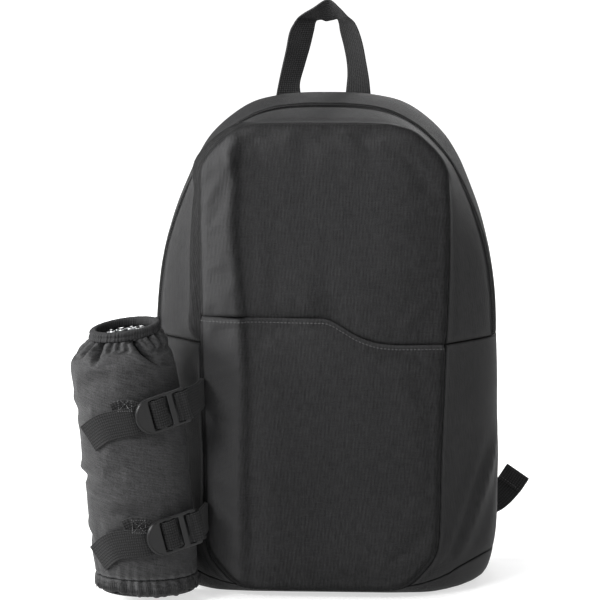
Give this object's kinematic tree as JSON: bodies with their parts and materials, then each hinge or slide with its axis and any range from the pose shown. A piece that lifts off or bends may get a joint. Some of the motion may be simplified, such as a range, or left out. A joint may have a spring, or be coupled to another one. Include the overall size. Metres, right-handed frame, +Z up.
{
  "type": "cooler backpack",
  "caption": "Insulated backpack with an arched zip, padded shoulder straps, a webbing grab handle and a cylindrical bottle pouch strapped at its side.",
  "frame": {"origin": "middle of the flat base, on the floor", "axes": "+X towards the viewer's right as the front is seen, +Y towards the back that lies against the wearer, +Z up"},
  "size_m": [0.4046, 0.267, 0.524],
  "materials": {
    "fabric": "matt woven polyester",
    "webbing": "ribbed woven webbing",
    "elastic": "matt elastic binding",
    "plastic": "satin moulded plastic",
    "zip": "woven tape with a nylon coil",
    "foil": "silvery insulating film"
  },
  "bodies": {
    "root": {"back_panel": "fabric", "rear_gusset": "fabric", "front_gusset": "fabric", "upper_front_panel": "fabric", "lower_front_panel": "fabric", "side_panel_left": "fabric", "side_panel_right": "fabric", "base_panel": "fabric", "zipper": "zip", "zipper_slider": "plastic", "grab_handle": "webbing", "shoulder_strap_left": "fabric", "shoulder_strap_right": "fabric", "strap_webbing_left": "webbing", "strap_webbing_right": "webbing", "strap_buckle_left": "plastic", "strap_buckle_right": "plastic", "corner_tab_left": "webbing", "corner_tab_right": "webbing", "pouch_shell": "fabric", "pouch_lining": "foil", "pouch_rim": "elastic", "pouch_hem": "elastic", "pouch_base": "fabric", "pouch_buckle_upper": "plastic", "pouch_buckle_lower": "plastic", "pouch_webbing_upper": "webbing", "pouch_webbing_lower": "webbing", "bag_webbing_upper": "webbing", "bag_webbing_lower": "webbing"}
  },
  "joints": []
}
